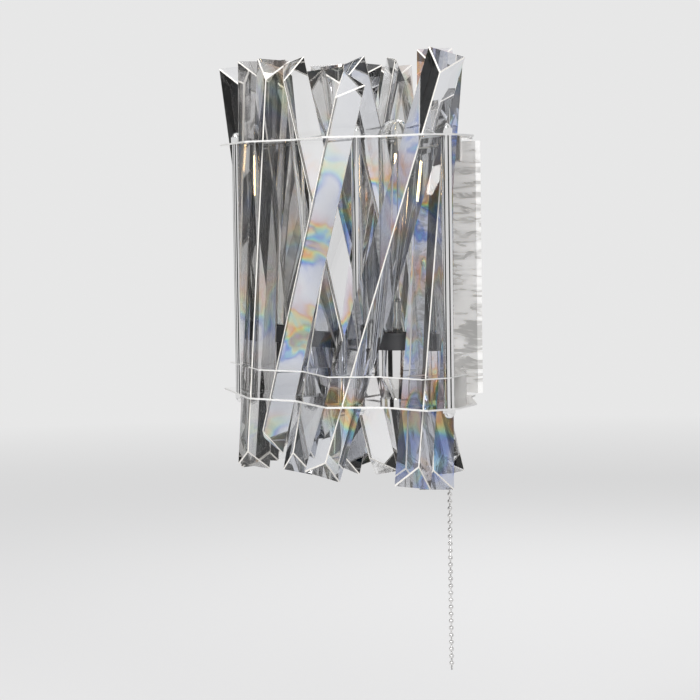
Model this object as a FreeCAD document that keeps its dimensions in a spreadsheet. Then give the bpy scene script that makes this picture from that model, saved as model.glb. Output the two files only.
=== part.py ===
import FreeCAD, Part
import math
import os
from FreeCAD import Placement, Rotation, Vector

# Crystal wall light: two mirror-bright plates with zigzag outlines stand out from a
# shallow mirror tray on the wall.  Leaning triangular crystal prisms pass through both
# plates, two tubular bulbs stand between them and a pull switch hangs a ball chain.
# Origin: on the wall, in the middle of the tray.  X along the wall, -Y into the room, Z up.

doc = FreeCAD.newDocument("CrystalWallLight")

# ---------------------------------------------------------------- driving dimensions
SIZES = {
    "plate_gap": 170.0,
    "plate_thick": 1.2,
    "tray_width": 102.0,
    "tray_depth": 4.0,
    "tray_wall": 1.2,
    "tray_end_gap": 1.0,
    "tab_width": 70.0,
    "tab_drop": 14.0,
    "tab_screw_x": 27.0,
    "tab_screw_drop": 7.5,
    "small_screw_radius": 1.5,
    "small_head_radius": 2.75,
    "small_head_thick": 1.8,
    "small_screw_end_gap": 0.6,
    "bracket_end_gap": 3.8,
    "bracket_height": 18.0,
    "bracket_thick": 1.5,
    "slot_spacing": 60.3,
    "slot_length": 12.0,
    "slot_width": 4.5,
    "stud_x": 12.0,
    "stud_radius": 2.0,
    "stud_length": 10.2,
    "bush_drop": 9.2,
    "bush_radius": 5.0,
    "bush_bore_radius": 3.2,
    "bush_lip_radius": 6.6,
    "bush_lip_thick": 1.4,
    "cover_thick": 0.8,
    "cover_inset": 7.0,
    "cover_rear_gap": 4.0,
    "post_rod_radius": 2.0,
    "post_tube_radius": 3.5,
    "nut_flats": 7.0,
    "nut_hex_height": 4.2,
    "nut_dome_radius": 3.3,
    "nut_bore_depth": 6.4,
    "nut_end_gap": 0.5,
    "cup_x": 65.7,
    "cup_y": -78.0,
    "cone_base_radius": 12.0,
    "cone_base_thick": 3.0,
    "cone_foot_radius": 5.0,
    "cone_head_radius": 13.0,
    "cup_radius": 13.8,
    "cup_height": 15.7,
    "cup_wall": 1.0,
    "wire_way_radius": 3.2,
    "holder_radius": 12.3,
    "holder_height": 25.6,
    "holder_lip_radius": 12.9,
    "holder_lip_thick": 2.0,
    "holder_well_depth": 7.0,
    "socket_depth": 21.0,
    "cap_radius": 6.8,
    "cap_length": 16.0,
    "cap_tip_radius": 2.6,
    "cap_tip_length": 0.5,
    "glass_radius": 11.0,
    "glass_wall": 0.9,
    "glass_neck_radius": 6.3,
    "glass_neck_length": 7.5,
    "glass_rise": 11.9,
    "stem_radius": 2.6,
    "stem_flare": 0.4,
    "stem_length": 26.0,
    "support_radius": 0.4,
    "support_spread": 2.0,
    "filament_low": 48.0,
    "filament_high": 75.0,
    "filament_radius": 0.8,
    "switch_x": 55.0,
    "switch_y": -31.0,
    "case_radius": 12.0,
    "case_height": 16.0,
    "case_wall": 1.5,
    "case_floor": 2.0,
    "lid_thick": 2.0,
    "lid_pin_radius": 1.45,
    "lid_pin_length": 3.0,
    "rotor_radius": 8.0,
    "rotor_thick": 1.6,
    "rotor_arm_width": 3.0,
    "rotor_drop": 1.2,
    "nozzle_radius": 4.0,
    "nozzle_length": 9.0,
    "nozzle_lip_radius": 6.0,
    "nozzle_lip_thick": 0.8,
    "nozzle_bore_radius": 1.7,
    "nozzle_nut_flats": 12.0,
    "nozzle_nut_thick": 3.0,
    "plunger_head_radius": 4.5,
    "plunger_head_thick": 1.1,
    "plunger_head_drop": 3.4,
    "plunger_stem_radius": 1.2,
    "plunger_bell_radius": 2.2,
    "plunger_bell_length": 4.0,
    "plunger_bell_drop": 2.0,
    "spring_wire": 0.45,
    "spring_radius": 2.6,
    "spring_turns": 5.0,
    "bead_radius": 1.6,
    "bead_pitch": 4.7,
    "bead_link_gap": 0.25,
    "chain_rod_radius": 0.5,
    "upper_beads": 9.0,
    "lower_beads": 25.0,
    "chain_tip_length": 4.5,
    "prism_width": 24.5,
    "prism_deep": 12.25,
    "prism_rise": 1.5,
    "prism_cut": 13.0,
    "running_fit": 0.05,
    "screw_fit": 0.1,
    "loose_fit": 0.3,
    "slot_fit": 0.2,
    "bulb_hole_fit": 0.8,
    "overshoot": 1.0,
    "block_length": 18.0,
    "block_width": 10.0,
    "block_height": 11.0,
    "block_x": -85.0,
    "block_y": -53.0,
    "block_hole_radius": 1.8,
    "block_hole_floor": 3.0,
}

# Corners of the plates' zigzag edge, counted from the tip on the left of the front.
OUTLINE = [
    (-124, -98), (-36, -130), (3, -118), (62, -131), (85, -102), (124, -96), (124, -73),
    (103, -43), (58, -15), (48, -4), (-48, -4), (-58, -7), (-105, -22), (-118, -60),
]

# Posts between the plates.
POSTS = [(44, -94), (102, -64), (-94, -102), (-102, -40)]

# Each prism: where its middle line meets the upper and the lower plate, which way its
# ridge faces in degrees, and its length along its flat face.
PRISMS = [
    (60, -44, 75, -56.5, -44, 289),
    (50, -115, -28, -113, -85, 267),
    (104, -84, 55, -114, -38, 286),
    (24.5, -73.5, 59.5, -50.5, -86, 280),
    (-3.5, -103.5, 27.5, -80.5, -85, 280),
    (-3, -29, 31, -43, -38, 280),
    (-43, -59, 11, -30, -176, 280),
    (-42, -41, -10, -24, -37, 280),
    (-12, -62.5, -19, -95, -62, 280),
    (31, -41, 4, -69, -87, 280),
    (-106, -64, -57, -51, -130, 280),
    (-107.5, -86, -104, -65, -28, 280),
    (-39, -111.5, -63, -110, -55, 280),
    (-87, -80, -97, -82, -30, 278),
    (-42, -94, -44.5, -74, 6, 280),
    (-83, -30, -70, -25, 150, 280),
    (-60, -32, -37, -23, 140, 280),
    (-76, -51, -21, -48, 100, 280),
    (13, -50, -13, -71, 70, 280),
    (-65, -102.5, -75.5, -98, 2, 280),
    (-26, -21, 27, -21, 8, 280),
    (83, -54, 101, -85, -20, 280),
]


PRISM_COLUMNS = ("head_across", "head_out", "foot_across", "foot_out", "turn", "length")

# ---------------------------------------------------------------- the sheet of sizes
sheet = doc.addObject("Spreadsheet::Sheet", "Sizes")
sheet_row = 0


def add_size(alias, value):
    """Write one plain number into the sheet under a name of its own."""
    global sheet_row
    sheet_row += 1
    sheet.set("A%d" % sheet_row, alias)
    sheet.set("B%d" % sheet_row, repr(float(value)))
    sheet.setAlias("B%d" % sheet_row, alias)


for size_name, size_value in SIZES.items():
    add_size(size_name, size_value)
for number, (corner_x, corner_y) in enumerate(OUTLINE, 1):
    add_size("corner_%02d_across" % number, corner_x)
    add_size("corner_%02d_out" % number, corner_y)
for number, (post_x, post_y) in enumerate(POSTS, 1):
    add_size("post_%02d_across" % number, post_x)
    add_size("post_%02d_out" % number, post_y)
for number, prism in enumerate(PRISMS, 1):
    for place, value in zip(PRISM_COLUMNS, prism):
        add_size("prism_%02d_%s" % (number, place), value)
doc.recompute()


def size(alias):
    """The number that the sheet holds under this name."""
    return float(sheet.get(alias))


# ---------------------------------------------------------------- levels and lines
# Heights and depths that several pieces share, as expressions of the sheet's cells.
S = "Sizes."
UPPER_UNDER = "(Sizes.plate_gap / 2)"
UPPER_TOP = "(Sizes.plate_gap / 2 + Sizes.plate_thick)"
LOWER_TOP = "(-Sizes.plate_gap / 2)"
LOWER_UNDER = "(-Sizes.plate_gap / 2 - Sizes.plate_thick)"
COVER_UNDER = "(-Sizes.plate_gap / 2 + Sizes.case_height + Sizes.lid_thick)"
COVER_TOP = "(%s + Sizes.cover_thick)" % COVER_UNDER
PLATE_THROUGH = "(Sizes.plate_thick + 2 * Sizes.overshoot)"
COVER_THROUGH = "(Sizes.cover_thick + 2 * Sizes.overshoot)"
TRAY_FRONT = "(-Sizes.tray_depth)"
TAB_FRONT = "(-Sizes.tray_depth - Sizes.plate_thick)"
LATHE_Y = Rotation(Vector(1, 0, 0), -90)

nodes = {}


def bind(item, **expressions):
    """Tie properties of an object to expressions of the sheet's cells."""
    for name, expression in expressions.items():
        item.setExpression(name, str(expression))
    return item


def place(item, x=0, y=0, z=0):
    """Tie the place of an object to expressions."""
    item.setExpression("Placement.Base.x", str(x))
    item.setExpression("Placement.Base.y", str(y))
    item.setExpression("Placement.Base.z", str(z))
    return item


def cylinder(name, radius, height, x=0, y=0, z=0):
    """An upright cylinder that stands on the point x, y, z."""
    item = doc.addObject("Part::Cylinder", name)
    return place(bind(item, Radius=radius, Height=height), x, y, z)


def rod_to_wall(name, radius, length, x=0, y=0, z=0):
    """A cylinder that runs from the point x, y, z towards the wall."""
    item = doc.addObject("Part::Cylinder", name)
    item.Placement = Placement(Vector(), LATHE_Y)
    return place(bind(item, Radius=radius, Height=length), x, y, z)


def cone(name, low_radius, high_radius, height, x=0, y=0, z=0):
    """An upright cone that stands on the point x, y, z."""
    item = doc.addObject("Part::Cone", name)
    return place(bind(item, Radius1=low_radius, Radius2=high_radius, Height=height), x, y, z)


def ball(name, radius, x=0, y=0, z=0):
    """A ball around the point x, y, z."""
    item = doc.addObject("Part::Sphere", name)
    return place(bind(item, Radius=radius), x, y, z)


def hexagon(name, flats, height, x=0, y=0, z=0):
    """An upright six-sided bar, given by the width across its flats."""
    item = doc.addObject("Part::Prism", name)
    item.Polygon = 6
    corner = "(%s) / 2 / cos(30)" % flats
    return place(bind(item, Circumradius=corner, Height=height), x, y, z)


def box(name, length, width, height, x=0, y=0, z=0):
    """A box whose lowest corner is at x, y, z."""
    item = doc.addObject("Part::Box", name)
    return place(bind(item, Length=length, Width=width, Height=height), x, y, z)


def cut(name, base, tool):
    """The base less the tool."""
    item = doc.addObject("Part::Cut", name)
    item.Base = base
    item.Tool = tool
    return item


def fuse(name, pieces):
    """Several shapes joined into one."""
    item = doc.addObject("Part::MultiFuse", name)
    item.Shapes = pieces
    return item


def group(name, pieces):
    """Several separate solids that share a name."""
    item = doc.addObject("Part::Compound", name)
    item.Links = pieces
    return item


def keep(label, item):
    """Name a finished sub-part."""
    item.Label = label
    nodes[label] = item
    return item


# ---------------------------------------------------------------- crystal prisms
# How far a slot's corners stand out past the prism's, for an even fit on its three faces.
SIDE = "sqrt((Sizes.prism_width / 2) ^ 2 + Sizes.prism_deep ^ 2)"
CORNER_SPARE = "(Sizes.slot_fit * (Sizes.prism_width / 2 + %s) / Sizes.prism_deep)" % SIDE
RIDGE_SPARE = "(Sizes.slot_fit * %s / (Sizes.prism_width / 2))" % SIDE


def three_sided_bar(name, length, ridge_cut, corner_spare, face_spare, ridge_spare):
    """A bar along Z with a flat face towards -Y and a ridge towards +Y, cut in at the ridge."""
    bar = doc.addObject("Part::Wedge", name)
    bar.X2min = 0
    bar.X2max = 0
    return bind(bar, Xmin="-Sizes.prism_width / 2 - " + corner_spare,
                Xmax="Sizes.prism_width / 2 + " + corner_spare,
                Ymin="-Sizes.prism_deep / 2 - " + face_spare,
                Ymax="Sizes.prism_deep / 2 + " + ridge_spare,
                Zmax=length, Z2min=ridge_cut, Z2max="%s - %s" % (length, ridge_cut))


def prism_place(number):
    """Where a prism stands: its middle line runs through its two places in the plates."""
    key = "prism_%02d_" % number
    gap = size("plate_gap")
    head = Vector(size(key + "head_across"), size(key + "head_out"), gap / 2)
    foot = Vector(size(key + "foot_across"), size(key + "foot_out"), -gap / 2)
    line = head - foot
    middle = foot + line * (0.5 + size("prism_rise") / gap)
    line.normalize()
    ridge_to_x = Rotation(Vector(0, 0, 1), size(key + "turn") - 90)
    turn = Rotation(Vector(0, 0, 1), line).multiply(ridge_to_x)
    return Placement(middle - line * (size(key + "length") / 2), turn)


slots = []
for number in range(1, len(PRISMS) + 1):
    length = "%sprism_%02d_length" % (S, number)
    crystal = three_sided_bar("crystal_%02d" % number, length, S + "prism_cut", "0", "0", "0")
    crystal.Placement = prism_place(number)
    keep("prism_%02d" % number, crystal)
    slot = three_sided_bar("slot_%02d" % number, length, "0", CORNER_SPARE, S + "slot_fit",
                           RIDGE_SPARE)
    slot.Placement = prism_place(number)
    slots.append(slot)
all_slots = group("all_slots", slots)


# ---------------------------------------------------------------- plates
def outline_face(inset):
    """The zigzag outline as a flat face, drawn in towards its middle by the inset."""
    middle = Vector(0, size("cup_y"), 0)
    points = []
    for number in range(1, len(OUTLINE) + 1):
        corner = Vector(size("corner_%02d_across" % number), size("corner_%02d_out" % number), 0)
        reach = corner - middle
        points.append(corner - reach * (inset / reach.Length))
    return Part.Face(Part.makePolygon(points + points[:1]))


def plate_blank(name, inset, thick, level):
    """A flat plate with the zigzag outline."""
    flat = doc.addObject("Part::Feature", name + "_outline")
    flat.Shape = outline_face(inset)
    plate = doc.addObject("Part::Extrusion", name + "_blank")
    plate.Base = flat
    plate.Dir = Vector(0, 0, 1)
    plate.Solid = True
    bind(plate, LengthFwd=thick)
    return place(plate, 0, 0, level)


def post_holes(name, low, height):
    """Holes for the posts' rods."""
    rods = []
    for number in range(1, len(POSTS) + 1):
        spot = S + "post_%02d_" % number
        rods.append(cylinder("%s_%d" % (name, number), "Sizes.post_rod_radius + Sizes.screw_fit",
                             height, spot + "across", spot + "out", low))
    return rods


def cup_holes(name, radius, low, height):
    """A round hole on each bulb's middle line."""
    return [cylinder("%s_%s" % (name, side), radius, height, sign + "Sizes.cup_x", S + "cup_y", low)
            for side, sign in (("near", ""), ("far", "-"))]


def tab_holes(name, level):
    """Holes through a tab for its two screws."""
    return [rod_to_wall("%s_%s" % (name, side), "Sizes.small_screw_radius + Sizes.screw_fit",
                        "Sizes.tray_depth + Sizes.plate_thick + 2 * Sizes.overshoot",
                        sign + "Sizes.tab_screw_x", TAB_FRONT + " - Sizes.overshoot", level)
            for side, sign in (("right", ""), ("left", "-"))]


UPPER_SCREWS = "(Sizes.plate_gap / 2 - Sizes.tab_screw_drop)"
LOWER_SCREWS = "(-Sizes.plate_gap / 2 + Sizes.tab_screw_drop)"
BUSH_LEVEL = "(-Sizes.plate_gap / 2 + Sizes.bush_drop)"
tab_box = dict(length=S + "tab_width", width=S + "plate_thick",
               height="Sizes.tab_drop + Sizes.plate_thick",
               x="-Sizes.tab_width / 2", y=TAB_FRONT)

upper_blank = fuse("upper_blank", [
    plate_blank("upper", 0, S + "plate_thick", UPPER_UNDER),
    box("upper_tab", z=UPPER_UNDER + " - Sizes.tab_drop", **tab_box)])
upper_tools = [all_slots]
upper_tools += post_holes("upper_post_hole", UPPER_UNDER + " - Sizes.overshoot", PLATE_THROUGH)
upper_tools += cup_holes("bulb_hole", "Sizes.glass_radius + Sizes.bulb_hole_fit",
                         UPPER_UNDER + " - Sizes.overshoot", PLATE_THROUGH)
upper_tools += tab_holes("upper_tab_hole", UPPER_SCREWS)
keep("upper_plate", cut("upper_plate", upper_blank, group("upper_tools", upper_tools)))

lower_blank = fuse("lower_blank", [
    plate_blank("lower", 0, S + "plate_thick", LOWER_UNDER),
    box("lower_tab", z=LOWER_UNDER, **tab_box)])
lower_tools = [all_slots]
lower_tools += post_holes("lower_post_hole", LOWER_UNDER + " - Sizes.overshoot", PLATE_THROUGH)
lower_tools += cup_holes("lower_wire_hole", S + "wire_way_radius",
                         LOWER_UNDER + " - Sizes.overshoot", PLATE_THROUGH)
lower_tools += tab_holes("lower_tab_hole", LOWER_SCREWS)
lower_tools.append(cylinder("nozzle_hole", "Sizes.nozzle_radius + Sizes.screw_fit",
                            PLATE_THROUGH, S + "switch_x", S + "switch_y",
                            LOWER_UNDER + " - Sizes.overshoot"))
lower_tools.append(rod_to_wall("lower_bush_hole", "Sizes.bush_radius + Sizes.screw_fit",
                               "Sizes.tray_depth", 0, TAB_FRONT + " - Sizes.overshoot", BUSH_LEVEL))
keep("lower_plate", cut("lower_plate", lower_blank, group("lower_tools", lower_tools)))

cover_tools = [all_slots]
cover_tools += post_holes("cover_post_hole", COVER_UNDER + " - Sizes.overshoot", COVER_THROUGH)
cover_tools += cup_holes("cover_wire_hole", S + "wire_way_radius",
                         COVER_UNDER + " - Sizes.overshoot", COVER_THROUGH)
cover_tools.append(box("cover_rear_trim", "4 * Sizes.tray_width", S + "tray_width",
                       COVER_THROUGH, "-2 * Sizes.tray_width",
                       TAB_FRONT + " - Sizes.cover_rear_gap", COVER_UNDER + " - Sizes.overshoot"))
keep("wiring_cover", cut("wiring_cover",
                         plate_blank("cover", size("cover_inset"), S + "cover_thick", COVER_UNDER),
                         group("cover_tools", cover_tools)))

# ---------------------------------------------------------------- wall tray and bracket
TRAY_HIGH = "(Sizes.plate_gap - 2 * Sizes.tray_end_gap)"
tray_outer = box("tray_outer", S + "tray_width", S + "tray_depth", TRAY_HIGH,
                 "-Sizes.tray_width / 2", TRAY_FRONT, "-%s / 2" % TRAY_HIGH)
tray_inner = box("tray_inner", "Sizes.tray_width - 2 * Sizes.tray_wall", S + "tray_depth",
                 TRAY_HIGH + " - 2 * Sizes.tray_wall",
                 "-Sizes.tray_width / 2 + Sizes.tray_wall", TRAY_FRONT + " + Sizes.tray_wall",
                 "-%s / 2 + Sizes.tray_wall" % TRAY_HIGH)
tray_tools = [tray_inner]
tray_tools += tab_holes("tray_upper_hole", UPPER_SCREWS)
tray_tools += tab_holes("tray_lower_hole", LOWER_SCREWS)
tray_tools.append(rod_to_wall("tray_bush_hole", "Sizes.bush_radius + Sizes.screw_fit",
                              "Sizes.tray_depth", 0, TRAY_FRONT + " - Sizes.overshoot", BUSH_LEVEL))
for side, sign in (("right", ""), ("left", "-")):
    tray_tools.append(rod_to_wall("tray_stud_hole_" + side, "Sizes.stud_radius + Sizes.loose_fit",
                                  "Sizes.tray_depth", sign + "Sizes.stud_x",
                                  TRAY_FRONT + " - Sizes.overshoot", 0))
keep("back_plate", cut("back_plate", tray_outer, fuse("tray_tools", tray_tools)))

BRACKET_LONG = "(Sizes.tray_width - 2 * Sizes.tray_wall - 2 * Sizes.bracket_end_gap)"
strap = box("strap", BRACKET_LONG, S + "bracket_thick", S + "bracket_height",
            "-%s / 2" % BRACKET_LONG, "-Sizes.bracket_thick", "-Sizes.bracket_height / 2")
BRACKET_THROUGH = "(Sizes.bracket_thick + 2 * Sizes.overshoot)"
BRACKET_START = "(-Sizes.bracket_thick - Sizes.overshoot)"
strap_tools = []
for side, sign in (("right", 1), ("left", -1)):
    middle_x = "(%d * Sizes.slot_spacing / 2)" % sign
    straight = "(Sizes.slot_length - Sizes.slot_width)"
    strap_tools.append(box("strap_slot_" + side, straight, BRACKET_THROUGH, S + "slot_width",
                           "%s - %s / 2" % (middle_x, straight), BRACKET_START,
                           "-Sizes.slot_width / 2"))
    for end, shift in (("inner", -1), ("outer", 1)):
        strap_tools.append(rod_to_wall("strap_%s_%s" % (side, end), "Sizes.slot_width / 2",
                                       BRACKET_THROUGH,
                                       "%s + %d * %s / 2" % (middle_x, shift, straight),
                                       BRACKET_START, 0))
    strap_tools.append(rod_to_wall("strap_stud_" + side, "Sizes.stud_radius + Sizes.running_fit",
                                   BRACKET_THROUGH, "%d * Sizes.stud_x" % sign,
                                   BRACKET_START, 0))
keep("wall_bracket", cut("wall_bracket", strap, fuse("strap_tools", strap_tools)))

studs = []
wall_nuts = []
NUT_CORNER = "(Sizes.nut_flats / 2 / cos(30))"


def cap_nut(name, thread_radius):
    """A domed nut that stands on z = 0, with a blind hole from below."""
    body = fuse(name + "_body", [hexagon(name + "_hex", S + "nut_flats", S + "nut_hex_height"),
                                 ball(name + "_dome", S + "nut_dome_radius", 0, 0,
                                      S + "nut_hex_height")])
    hole = cylinder(name + "_hole", thread_radius + " + Sizes.running_fit",
                    S + "nut_bore_depth", 0, 0, 0)
    return cut(name, body, hole)


def nut_copy(name, pattern, x, y, z, turn):
    """One more cap nut, turned and moved to its place."""
    item = doc.addObject("Part::Feature", name)
    item.Shape = pattern.Shape
    item.Placement = Placement(Vector(x, y, z), turn)
    return item


post_nut = cap_nut("post_nut", S + "post_rod_radius")
stud_nut = cap_nut("stud_nut", S + "stud_radius")
doc.recompute()
for side, sign in (("right", 1), ("left", -1)):
    studs.append(rod_to_wall("stud_" + side, S + "stud_radius", S + "stud_length",
                             "%d * Sizes.stud_x" % sign, "-Sizes.stud_length", 0))
    wall_nuts.append(nut_copy("wall_nut_" + side, stud_nut, sign * size("stud_x"),
                              -size("tray_depth"), 0, Rotation(Vector(1, 0, 0), 90)))
keep("bracket_studs", group("bracket_studs", studs))
keep("wall_cap_nuts", group("wall_cap_nuts", wall_nuts))

BUSH_FRONT = "(%s - Sizes.bush_lip_thick)" % TAB_FRONT
BUSH_LONG = "(2 * Sizes.bush_lip_thick + Sizes.plate_thick + Sizes.tray_wall)"
bush_body = fuse("bush_body", [
    rod_to_wall("bush_barrel", S + "bush_radius", BUSH_LONG, 0, BUSH_FRONT, BUSH_LEVEL),
    rod_to_wall("bush_front_lip", S + "bush_lip_radius", S + "bush_lip_thick",
                0, BUSH_FRONT, BUSH_LEVEL),
    rod_to_wall("bush_back_lip", S + "bush_lip_radius", S + "bush_lip_thick",
                0, TRAY_FRONT + " + Sizes.tray_wall", BUSH_LEVEL)])
keep("cable_bush", cut("cable_bush", bush_body,
                       rod_to_wall("bush_bore", S + "bush_bore_radius", BUSH_LONG + " + 2 * Sizes.overshoot",
                                   0, BUSH_FRONT + " - Sizes.overshoot", BUSH_LEVEL)))

tab_screws = []
SHANK_GRIP = "(Sizes.plate_thick + Sizes.tray_depth - Sizes.small_screw_end_gap)"
for level_name, level in (("upper", UPPER_SCREWS), ("lower", LOWER_SCREWS)):
    for side, sign in (("right", ""), ("left", "-")):
        name = "tab_screw_%s_%s" % (level_name, side)
        spot = sign + "Sizes.tab_screw_x"
        head_front = TAB_FRONT + " - Sizes.small_head_thick"
        tab_screws.append(fuse(name, [
            rod_to_wall(name + "_head", S + "small_head_radius", S + "small_head_thick",
                        spot, head_front, level),
            rod_to_wall(name + "_shank", S + "small_screw_radius",
                        "Sizes.small_head_thick + " + SHANK_GRIP,
                        spot, head_front, level)]))
keep("tab_screws", group("tab_screws", tab_screws))

# ---------------------------------------------------------------- posts
rods = []
tubes = []
top_nuts = []
bottom_nuts = []
for number in range(1, len(POSTS) + 1):
    spot = "post_%02d_" % number
    across = S + spot + "across"
    out = S + spot + "out"
    rod_spare = "(Sizes.nut_bore_depth - Sizes.nut_end_gap)"
    rods.append(cylinder("post_rod_%d" % number, S + "post_rod_radius",
                         "Sizes.plate_gap + 2 * Sizes.plate_thick + 2 * " + rod_spare,
                         across, out, "%s - %s" % (LOWER_UNDER, rod_spare)))
    for part, low, high in (("short", LOWER_TOP, COVER_UNDER), ("long", COVER_TOP, UPPER_UNDER)):
        name = "post_tube_%s_%d" % (part, number)
        length = "%s - %s" % (high, low)
        tubes.append(cut(name, cylinder(name + "_outer", S + "post_tube_radius", length,
                                        across, out, low),
                         cylinder(name + "_bore", "Sizes.post_rod_radius + Sizes.screw_fit",
                                  length, across, out, low)))
    post_x = size(spot + "across")
    post_y = size(spot + "out")
    half = size("plate_gap") / 2 + size("plate_thick")
    top_nuts.append(nut_copy("top_nut_%d" % number, post_nut, post_x, post_y, half, Rotation()))
    bottom_nuts.append(nut_copy("bottom_nut_%d" % number, post_nut, post_x, post_y, -half,
                                Rotation(Vector(1, 0, 0), 180)))
keep("tie_rods", group("tie_rods", rods))
keep("spacer_tubes", group("spacer_tubes", tubes))
keep("top_cap_nuts", group("top_cap_nuts", top_nuts))
keep("bottom_cap_nuts", group("bottom_cap_nuts", bottom_nuts))


# ---------------------------------------------------------------- lampholders and bulbs
def lampholder(side, sign):
    """The cone, cup and socket that carry one bulb."""
    x = sign + "Sizes.cup_x"
    y = S + "cup_y"
    cone_high = "(%s - %s - Sizes.cone_base_thick)" % (COVER_UNDER, LOWER_TOP)
    stand = fuse(side + "_stand", [
        cylinder(side + "_disc", S + "cone_base_radius", S + "cone_base_thick", x, y, LOWER_TOP),
        cone(side + "_taper", S + "cone_foot_radius", S + "cone_head_radius", cone_high,
             x, y, LOWER_TOP + " + Sizes.cone_base_thick")])
    keep(side + "_cone", cut(side + "_cone", stand,
                             cylinder(side + "_cone_way", S + "wire_way_radius",
                                      "%s - %s" % (COVER_TOP, LOWER_TOP), x, y, LOWER_TOP)))
    shell = cylinder(side + "_shell", S + "cup_radius", S + "cup_height", x, y, COVER_TOP)
    hollow = fuse(side + "_hollow", [
        cylinder(side + "_cup_inside", "Sizes.cup_radius - Sizes.cup_wall", S + "cup_height",
                 x, y, COVER_TOP + " + Sizes.cup_wall"),
        cylinder(side + "_cup_way", S + "wire_way_radius", "Sizes.cup_wall + 2 * Sizes.overshoot",
                 x, y, COVER_TOP + " - Sizes.overshoot")])
    keep(side + "_cup", cut(side + "_cup", shell, hollow))
    floor = "(%s + Sizes.cup_wall)" % COVER_TOP
    rim = "(%s + Sizes.holder_height)" % floor
    sleeve = fuse(side + "_sleeve", [
        cylinder(side + "_barrel", S + "holder_radius", S + "holder_height", x, y, floor),
        cylinder(side + "_lip", S + "holder_lip_radius", S + "holder_lip_thick",
                 x, y, rim + " - Sizes.holder_lip_thick")])
    well = fuse(side + "_well", [
        cylinder(side + "_well_top", "Sizes.glass_radius + Sizes.loose_fit",
                 "Sizes.holder_well_depth + Sizes.overshoot", x, y, rim + " - Sizes.holder_well_depth"),
        cylinder(side + "_well_bore", "Sizes.cap_radius + Sizes.running_fit",
                 S + "socket_depth", x, y, rim + " - Sizes.socket_depth")])
    keep(side + "_holder", cut(side + "_holder", sleeve, well))
    cap_low = "(%s - Sizes.socket_depth + Sizes.loose_fit)" % rim
    cap_foot = "(%s + Sizes.cap_tip_length)" % cap_low
    keep(side + "_bulb_cap", fuse(side + "_bulb_cap", [
        cylinder(side + "_cap_tip", S + "cap_tip_radius",
                 "Sizes.cap_tip_length + Sizes.overshoot", x, y, cap_low),
        cylinder(side + "_cap_body", S + "cap_radius", S + "cap_length", x, y, cap_foot)]))
    return x, y, "(%s + Sizes.cap_length)" % cap_foot


def bulb(side, x, y, cap_top):
    """A long clear tube with a domed top, its stem, two supports and the filament."""
    glass_top = "(%s + Sizes.glass_rise)" % UPPER_UNDER
    shoulder = "(%s + Sizes.glass_neck_length)" % cap_top
    dome = "(%s - Sizes.glass_radius)" % glass_top
    skins = []
    for skin, inward in (("outer", "0"), ("inner", S + "glass_wall")):
        name = "%s_%s" % (side, skin)
        radius = "(Sizes.glass_radius - %s)" % inward
        skins.append(fuse(name + "_skin", [
            cone(name + "_neck", "Sizes.glass_neck_radius - " + inward, radius,
                 S + "glass_neck_length", x, y, cap_top),
            cylinder(name + "_tube", radius, "%s - %s" % (dome, shoulder), x, y, shoulder),
            ball(name + "_dome", radius, x, y, dome)]))
    keep(side + "_bulb_glass", cut(side + "_bulb_glass", skins[0], skins[1]))
    stem_top = "(%s + Sizes.stem_length)" % cap_top
    low = "(Sizes.filament_low)"
    high = "(Sizes.filament_high)"
    pieces = [cone(side + "_stem", S + "stem_radius", "Sizes.stem_radius + Sizes.stem_flare",
                   S + "stem_length", x, y, cap_top),
              cylinder(side + "_coil", S + "filament_radius", "%s - %s" % (high, low), x, y, low)]
    for name, shift, top in (("short_support", "-", low), ("long_support", "", high)):
        spread = "%sSizes.support_spread" % shift
        pieces.append(cylinder("%s_%s" % (side, name), S + "support_radius",
                               "%s - %s + Sizes.overshoot + Sizes.support_radius" % (top, stem_top),
                               "%s + %s" % (x, spread), y, stem_top + " - Sizes.overshoot"))
        foot_x = "%s - Sizes.support_radius" % x if shift == "" else "%s - Sizes.support_spread" % x
        pieces.append(box("%s_%s_arm" % (side, name),
                          "Sizes.support_spread + Sizes.support_radius", "2 * Sizes.support_radius",
                          "2 * Sizes.support_radius", foot_x, y + " - Sizes.support_radius",
                          top + " - Sizes.support_radius"))
    keep(side + "_filament", fuse(side + "_filament", pieces))


for bulb_side, bulb_sign in (("near", ""), ("far", "-")):
    bulb(bulb_side, *lampholder(bulb_side, bulb_sign))

# ---------------------------------------------------------------- pull switch
SWITCH_X = S + "switch_x"
SWITCH_Y = S + "switch_y"
CASE_FLOOR = "(%s + Sizes.case_floor)" % LOWER_TOP
CASE_TOP = "(%s + Sizes.case_height)" % LOWER_TOP


def on_switch(name, radius, height, level):
    """A cylinder on the switch's middle line."""
    return cylinder(name, radius, height, SWITCH_X, SWITCH_Y, level)


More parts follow.
